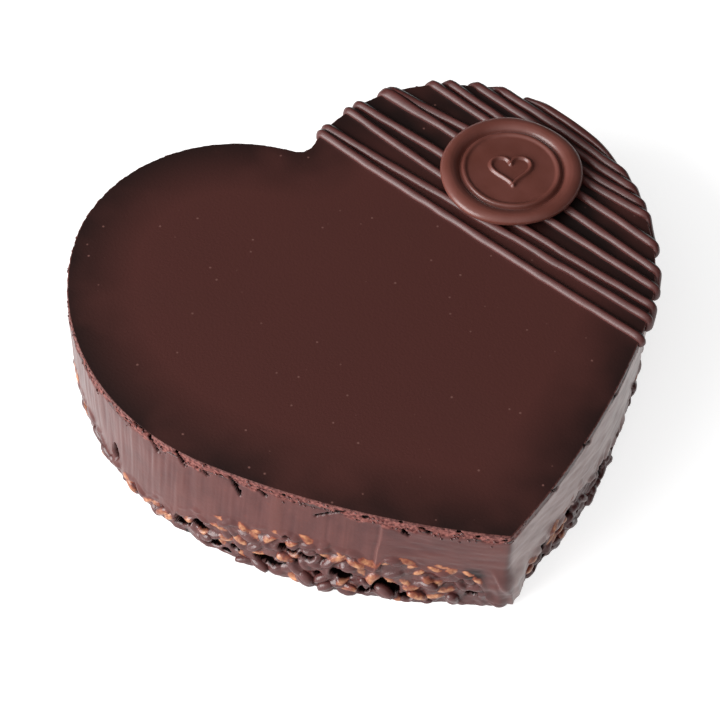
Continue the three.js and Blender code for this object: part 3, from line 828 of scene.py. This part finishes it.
def piped_thread(material):
    """The piped thread: an oval that narrows to its crest, carried along the folded path with rounded ends.

    A bell curve makes it thicker at one place. Its painted lee shade is how far each side faces away across the
    strokes."""
    flat = thread_path() @ np.stack([ALONG, ACROSS])
    level = np.pad(flat, ((0, 0), (0, 1)))
    flat += 0.16 * np.stack([noise(level, size=7.0, seed=131 + axis) for axis in range(2)], -1)
    path, up = folded(smoothed(flat, 3))
    path = smoothed(path, 4)
    forward = np.gradient(path, axis=0)
    forward /= np.linalg.norm(forward, axis=-1, keepdims=True)
    side = np.cross(forward, up)
    side /= np.linalg.norm(side, axis=-1, keepdims=True)
    up = np.cross(side, forward)
    run = np.arange(len(path))
    ends = np.sqrt(np.clip(np.minimum(run + 0.35, len(path) - 0.65 - run) / 3.0, 0, 1))
    begun = (path[:, :2] @ np.stack([ALONG, ACROSS], -1) - THICK_PLACE) / THICK_REACH
    thicker = 0.5 * np.exp(-np.sum(begun ** 2, axis=-1))
    width = STROKE_HALF_WIDTH * (1 + 0.13 * noise(path, size=5.0, seed=141) + thicker) * ends
    height = STROKE_HALF_HEIGHT * (1 + 0.7 * thicker) * ends
    around = np.linspace(0, 2 * math.pi, THREAD_SIDES, endpoint=False)[::-1, None]
    narrowing = 1 - STROKE_CREST * np.clip(np.sin(around), 0, 1) ** 1.3
    centre = (path + STROKE_LIE * up)[:, None]
    rows = centre + narrowing * np.cos(around) * (width[:, None] * side)[:, None]
    rows += np.sin(around) * (height[:, None] * up)[:, None]
    # Painted shade: the side of the thread that faces away across the strokes.
    lee = np.clip(np.cos(around).T * np.sign(side @ np.append(ACROSS, 0))[:, None], 0, 1)
    values = {"lee": np.append(lee, [0, 0])}
    make_piece("piped_thread", *skin(rows), material, "dark_glaze", "top_glaze", values)


def heart_line_distance(x, y):
    """Distance on the seal's field from each point to the motif's line.

    The line is a heart curve: across it is the sine cubed, and up it is a sum of four cosines."""
    turn = np.linspace(0, 2 * math.pi, 160, endpoint=False)
    curve_x = MOTIF_SIZE * np.sin(turn) ** 3
    cosines = sum(share * np.cos(wave * turn) for wave, share in ((1, 13), (2, -5), (3, -2), (4, -1)))
    curve_y = MOTIF_SIZE / 16 * cosines
    nearest = np.full(x.shape, np.inf)
    for heart_x, heart_y in zip(curve_x, curve_y):
        nearest = np.minimum(nearest, np.hypot(x - heart_x, y - heart_y))
    return nearest


def seal_section():
    """The seal's section from its underside out, round the lip and in to its middle: radius and height."""
    turn = np.linspace(-math.pi / 2, math.pi / 2, LIP_STEPS)
    lip_radius = SEAL_RADIUS - LIP_ROUNDING + LIP_ROUNDING * np.cos(turn)
    lip_height = SEAL_THICKNESS / 2 * (1 + np.sin(turn))
    field = SEAL_THICKNESS - FIELD_DEPTH
    turns = np.array([
        (0, field),
        (RING_RADIUS - 1.0, field),
        (RING_RADIUS - 0.4, field + 0.5),
        (RING_RADIUS + 0.4, field + 0.5),
        (GROOVE_RADIUS, SEAL_THICKNESS - GROOVE_DEPTH),
        (LIP_RADIUS - 0.2, SEAL_THICKNESS - 0.75),
        (LIP_RADIUS + 0.6, SEAL_THICKNESS - 0.25),
        (LIP_RADIUS + 1.6, SEAL_THICKNESS),
        (SEAL_RADIUS, SEAL_THICKNESS),
    ])
    face_radius = np.linspace(SEAL_RADIUS - LIP_ROUNDING - 0.2, 0.15, 90)
    face_height = smoothed(np.interp(face_radius, turns[:, 0], turns[:, 1]), 2)
    radius = np.concatenate([[0.5], lip_radius, face_radius])[:, None]
    height = np.concatenate([[0.0], lip_height, face_height])[:, None]
    return radius, height


def seal(material):
    """The moulded seal: its section turned about its axis, a lip swelled by three sines, and a raised motif."""
    radius, height = seal_section()
    around = np.linspace(0, 2 * math.pi, 256, endpoint=False)
    x, y = radius * np.cos(around), radius * np.sin(around)
    swell = 0.35 * np.sin(2 * around + 0.6) + 0.2 * np.sin(3 * around + 2.0) + 0.12 * np.sin(5 * around)
    grow = 1 + (swell - 0.35) / SEAL_RADIUS * rise(LIP_RADIUS, SEAL_RADIUS, radius)
    z = height + np.zeros_like(x)
    top = (np.arange(len(radius)) > LIP_STEPS // 2)[:, None]
    motif = MOTIF_RISE * rise(MOTIF_LINE + 0.2, 0.15, heart_line_distance(x, y))
    z = z + top * motif * rise(RING_RADIUS - 2, RING_RADIUS - 3, radius)
    z = z + top * 0.12 * noise(np.stack([x, y, z], -1), size=6.0, seed=151)
    turned_x = grow * (x * math.cos(SEAL_TURN) - y * math.sin(SEAL_TURN)) + SEAL_CENTRE[0]
    turned_y = grow * (x * math.sin(SEAL_TURN) + y * math.cos(SEAL_TURN)) + SEAL_CENTRE[1]
    rows = np.stack([turned_x, turned_y, z + SEAL_BOTTOM], -1)
    make_piece("chocolate_seal_disc", *skin(rows), material, "milk_chocolate", "chocolate_seal")


# ---- Materials ----

COCOA_BUTTER_IOR = 1.46
# Painted shade: the black of deep pits, gashes and holes, in colour and in reflection.
DEEP_SHADOW = "#050202"


def linear(colour):
    """A hex sRGB colour as linear red, green and blue, with an alpha of one."""
    channels = [int(colour[k:k + 2], 16) / 255 for k in (1, 3, 5)]
    return [c / 12.92 if c <= 0.04045 else ((c + 0.055) / 1.055) ** 2.4 for c in channels] + [1.0]


def add_node(tree, kind, settings=None, links=None):
    """Adds a node: settings go to its inputs or else to its properties, and links feed its inputs."""
    node = tree.nodes.new(kind)
    for name, value in (settings or {}).items():
        if isinstance(name, int) or name in node.inputs:
            node.inputs[name].default_value = value
        else:
            setattr(node, name, value)
    for name, source in (links or {}).items():
        tree.links.new(source, node.inputs[name])
    return node


def new_material(name, roughness, ior=COCOA_BUTTER_IOR):
    """An opaque material with its Principled shader."""
    material = bpy.data.materials.new(name)
    material.use_nodes = True
    shader = material.node_tree.nodes["Principled BSDF"]
    shader.inputs["Roughness"].default_value = roughness
    shader.inputs["IOR"].default_value = ior
    return material, material.node_tree, shader


def pattern(tree, size_mm, detail=2.0):
    """Noise from 0 to 1 on Object coordinates, its features about this size."""
    place = add_node(tree, "ShaderNodeTexCoord")
    return add_node(tree, "ShaderNodeTexNoise", {"Scale": 1 / (size_mm * MM), "Detail": detail},
                    {"Vector": place.outputs["Object"]}).outputs["Fac"]


def covered(tree, under, over, mask, start, full, most=1.0):
    """A colour over another one, each a hex colour or a socket, as a mask goes from its start to its full value.

    The mask is a socket or the name of one of the piece's attributes. Most is the share that it covers at last."""
    if isinstance(mask, str):
        mask = add_node(tree, "ShaderNodeAttribute", {"attribute_name": mask}).outputs["Fac"]
    share = add_node(tree, "ShaderNodeMapRange", {"From Min": start, "From Max": full, "To Max": most},
                     {"Value": mask})
    mix = add_node(tree, "ShaderNodeMix", {"data_type": "RGBA"}, {0: share.outputs["Result"]})
    for socket, colour in ((6, under), (7, over)):
        if isinstance(colour, str):
            mix.inputs[socket].default_value = linear(colour)
        else:
            tree.links.new(colour, mix.inputs[socket])
    return mix.outputs[2]


def finely_uneven(tree, shader, size_mm, depth_mm, detail=2.0):
    """Gives the shader the surface's finest relief, as noise of this size and depth in its normals."""
    relief = add_node(tree, "ShaderNodeBump", {"Strength": 1.0, "Distance": depth_mm * MM},
                      {"Height": pattern(tree, size_mm, detail)})
    tree.links.new(relief.outputs["Normal"], shader.inputs["Normal"])


def darkened_hollows(tree, shader, colour, glint="#ffffff"):
    """Feeds the shader its colour and its reflection's tint, which go black as painted shade in the pits, gashes
    and holes.
    """
    for surface, socket in ((colour, "Base Color"), (glint, "Specular Tint")):
        tree.links.new(covered(tree, surface, DEEP_SHADOW, "hollow", 0.08, 0.5), shader.inputs[socket])


def crumb_colour(tree):
    """The broken face of the strip: paler crumbs in darker ones, each under a millimetre wide."""
    return covered(tree, "#43201f", "#80504a", pattern(tree, 0.8, 3.0), 0.36, 0.66)


def crumb_glint(tree):
    """The reflection's tint: white on smooth chocolate, and brown on the strip's crumbs, which scatter it."""
    return covered(tree, "#ffffff", "#8e6a62", "strip", 0.0, 1.0)


def ganache_colour(tree):
    """Ganache's brown, uneven from place to place."""
    return covered(tree, "#432322", "#4e2b29", pattern(tree, 6.0), 0.35, 0.65)


def toasted_colour(tree, chocolate):
    """Chocolate with the toasted rice showing where a crest was wiped: first through a thin film, then bare."""
    crest = add_node(tree, "ShaderNodeAttribute", {"attribute_name": "crest"})
    uneven = add_node(tree, "ShaderNodeMapRange", {
        "From Min": 0.3, "From Max": 0.7, "To Min": -0.35, "To Max": 0.25}, {"Value": pattern(tree, 1.4, 3.0)})
    wiped = add_node(tree, "ShaderNodeMath", {"operation": "ADD"},
                     {0: crest.outputs["Fac"], 1: uneven.outputs["Result"]}).outputs["Value"]
    filmed = covered(tree, chocolate, "#6a2f20", wiped, 0.2, 0.55)
    toasted = covered(tree, "#643220", "#b27d59", pattern(tree, 1.8), 0.3, 0.7)
    return covered(tree, filmed, toasted, wiped, 0.5, 1.0)


def poured_dark_glaze():
    """Dark couverture glaze, poured and set: satin, darker and browner near the rim, and near black as painted
    shade across the band of the piped strokes.

    Its surface is even but for faint specks 5 mm apart, and its broken edge is rougher."""
    material, tree, shader = new_material("poured_dark_glaze", 0.42)
    # Painted shade: the glaze goes near black across the strokes' band, for the shade between the strokes.
    glaze_with_thread_shade = covered(tree, "#482521", "#180c0a", "thread_shade", 0.0, 1.0)
    colour = covered(tree, "#21100e", glaze_with_thread_shade, "inside", 0.5, 18.0)
    colour = covered(tree, colour, "#472521", pattern(tree, 22.0), 0.45, 0.8)
    place = add_node(tree, "ShaderNodeTexCoord")
    specks = add_node(tree, "ShaderNodeTexVoronoi", {"Scale": 1 / (5.0 * MM)},
                      {"Vector": place.outputs["Object"]})
    colour = covered(tree, colour, "#6b4943", specks.outputs["Distance"], 0.08, 0.04)
    colour = covered(tree, colour, crumb_colour(tree), "strip", 0.0, 1.0)
    strip = add_node(tree, "ShaderNodeAttribute", {"attribute_name": "strip"})
    roughness = add_node(tree, "ShaderNodeMapRange", {"To Min": 0.42, "To Max": 0.65},
                         {"Value": strip.outputs["Fac"]})
    tree.links.new(roughness.outputs["Result"], shader.inputs["Roughness"])
    darkened_hollows(tree, shader, colour, crumb_glint(tree))
    finely_uneven(tree, shader, 0.7, 0.04)
    return material


def spread_ganache():
    """Dark ganache spread by a knife: satin, lighter on ridges, with a painted highlight on its crease, painted
    shade left of the tip, and a painted pale reflection on one flank.
    """
    material, tree, shader = new_material("spread_ganache", 0.3, 1.35)
    colour = covered(tree, ganache_colour(tree), "#57302b", "knife_tone_and_painted_light", -1.0, 1.2, most=0.6)
    # Painted shade: the dark patch left of the tip's fold.
    colour = covered(tree, colour, "#1f0e0e", "knife_tone_and_painted_light", -1.2, -3.2)
    # Painted highlight: the pale line along the crease.
    colour = covered(tree, colour, "#684741", "knife_tone_and_painted_light", 1.6, 3.0)
    # Painted reflection: the right flank goes pale grey, for the white floor's glancing reflection.
    colour = covered(tree, colour, "#8f7a77", "painted_flank_sheen", 0.0, 1.0)
    colour = covered(tree, colour, crumb_colour(tree), "strip", 0.0, 1.0)
    darkened_hollows(tree, shader, toasted_colour(tree, colour), crumb_glint(tree))
    finely_uneven(tree, shader, 0.9, 0.035, detail=3.0)
    return material


def chocolate_crisped_rice():
    """Crisped rice bound with chocolate: glossy where the chocolate ran, orange brown where a grain is bare."""
    material, tree, shader = new_material("chocolate_crisped_rice", 0.3)
    darkened_hollows(tree, shader, toasted_colour(tree, ganache_colour(tree)))
    finely_uneven(tree, shader, 0.8, 0.1, detail=3.0)
    return material


def piped_chocolate():
    """Piped dark chocolate, set with a soft gloss from the nozzle's skin, with painted shade down its far flank.
    """
    material, tree, shader = new_material("piped_chocolate", 0.4)
    colour = covered(tree, "#44201d", "#4e2724", pattern(tree, 5.0), 0.3, 0.7)
    # Painted shade: the thread's far flank goes near black.
    tree.links.new(covered(tree, colour, "#0f0605", "lee", 0.0, 0.6), shader.inputs["Base Color"])
    finely_uneven(tree, shader, 0.8, 0.03)
    return material


def split_chocolate():
    """Freshly broken chocolate, glossy on its split faces."""
    material, tree, shader = new_material("split_chocolate", 0.22)
    colour = covered(tree, "#34181a", "#5a332f", pattern(tree, 1.5), 0.0, 1.0)
    tree.links.new(colour, shader.inputs["Base Color"])
    return material


def moulded_milk_chocolate():
    """Moulded milk chocolate: warmer than the glaze, smooth and softly glossy from its mould."""
    material, tree, shader = new_material("moulded_milk_chocolate", 0.3)
    colour = covered(tree, "#5d332b", "#653a33", pattern(tree, 7.0), 0.3, 0.7)
    tree.links.new(colour, shader.inputs["Base Color"])
    finely_uneven(tree, shader, 1.2, 0.03)
    return material


def white_acrylic():
    """Matt white acrylic, faintly cloudy, and lit a little from below as a light table is."""
    material, tree, shader = new_material("white_acrylic", 0.9)
    colour = covered(tree, "#c2c2c2", "#c6c6c6", pattern(tree, 400.0), 0.0, 1.0)
    tree.links.new(colour, shader.inputs["Base Color"])
    shader.inputs["Emission Color"].default_value = linear("#ffffff")
    shader.inputs["Emission Strength"].default_value = FLOOR_GLOW
    return material


# ---- The studio ----

def studio_floor():
    """A wide table top under the cake."""
    half = FLOOR_HALF_WIDTH * MM
    mesh = bpy.data.meshes.new("floor")
    corners = [(-half, -half, 0), (half, -half, 0), (half, half, 0), (-half, half, 0)]
    mesh.from_pydata(corners, [], [(0, 1, 2, 3)])
    mesh.materials.append(white_acrylic())
    floor = bpy.data.objects.new("floor", mesh)
    bpy.context.collection.objects.link(floor)


def towards(direction, elevation):
    """The unit vector at an angle round the cake from +X and an angle above the floor."""
    flat = math.cos(elevation)
    return Vector((flat * math.cos(direction), flat * math.sin(direction), math.sin(elevation)))


def softbox():
    """The key light: a low square area light that looks at the cake from its left."""
    light = bpy.data.lights.new("key", "AREA")
    light.size = KEY_SIZE * MM
    light.energy = KEY_WATTS
    lamp = bpy.data.objects.new("key", light)
    away = towards(KEY_DIRECTION, KEY_ELEVATION)
    lamp.location = KEY_DISTANCE * MM * away
    lamp.rotation_euler = away.to_track_quat("Z", "Y").to_euler()
    bpy.context.collection.objects.link(lamp)


def studio_world():
    """White surroundings, bright on the window's side and dark behind the cake on the right.

    The brightness rises with the dot product of a direction and the window's."""
    world = bpy.data.worlds.new("studio")
    world.use_nodes = True
    tree = world.node_tree
    window = towards(WINDOW_DIRECTION, WINDOW_ELEVATION)
    direction = add_node(tree, "ShaderNodeTexCoord").outputs["Generated"]
    facing = add_node(tree, "ShaderNodeVectorMath", {"operation": "DOT_PRODUCT", 1: window}, {0: direction})
    strength = add_node(tree, "ShaderNodeMapRange", {
        "From Max": 0.85, "To Min": DARK_SIDE_BRIGHTNESS, "To Max": WINDOW_BRIGHTNESS},
        {"Value": facing.outputs["Value"]})
    surroundings = tree.nodes["Background"]
    surroundings.inputs["Color"].default_value = linear("#ffffff")
    tree.links.new(strength.outputs["Result"], surroundings.inputs["Strength"])
    bpy.context.scene.world = world


def camera():
    """A long lens at the photograph's angle, rolled a little as the photograph is."""
    away = towards(AZIMUTH - math.pi / 2, ELEVATION)
    lens = bpy.data.cameras.new("camera")
    lens.lens = LENS
    lens.sensor_width = SENSOR
    eye = bpy.data.objects.new("camera", lens)
    eye.location = (AIM + DISTANCE * away) * MM
    eye.rotation_mode = "QUATERNION"
    eye.rotation_quaternion = away.to_track_quat("Z", "Y") @ Quaternion((0, 0, 1), ROLL)
    bpy.context.collection.objects.link(eye)
    bpy.context.scene.camera = eye


camera()
studio_world()
studio_floor()
softbox()
bpy.context.scene.view_settings.view_transform = "Standard"

crisped_rice = chocolate_crisped_rice()
base_core(crisped_rice)
rice_grains(crisped_rice)
ganache_wall(spread_ganache())
glaze_sheet(poured_dark_glaze())
loose_crumbs(split_chocolate())
piped_thread(piped_chocolate())
seal(moulded_milk_chocolate())
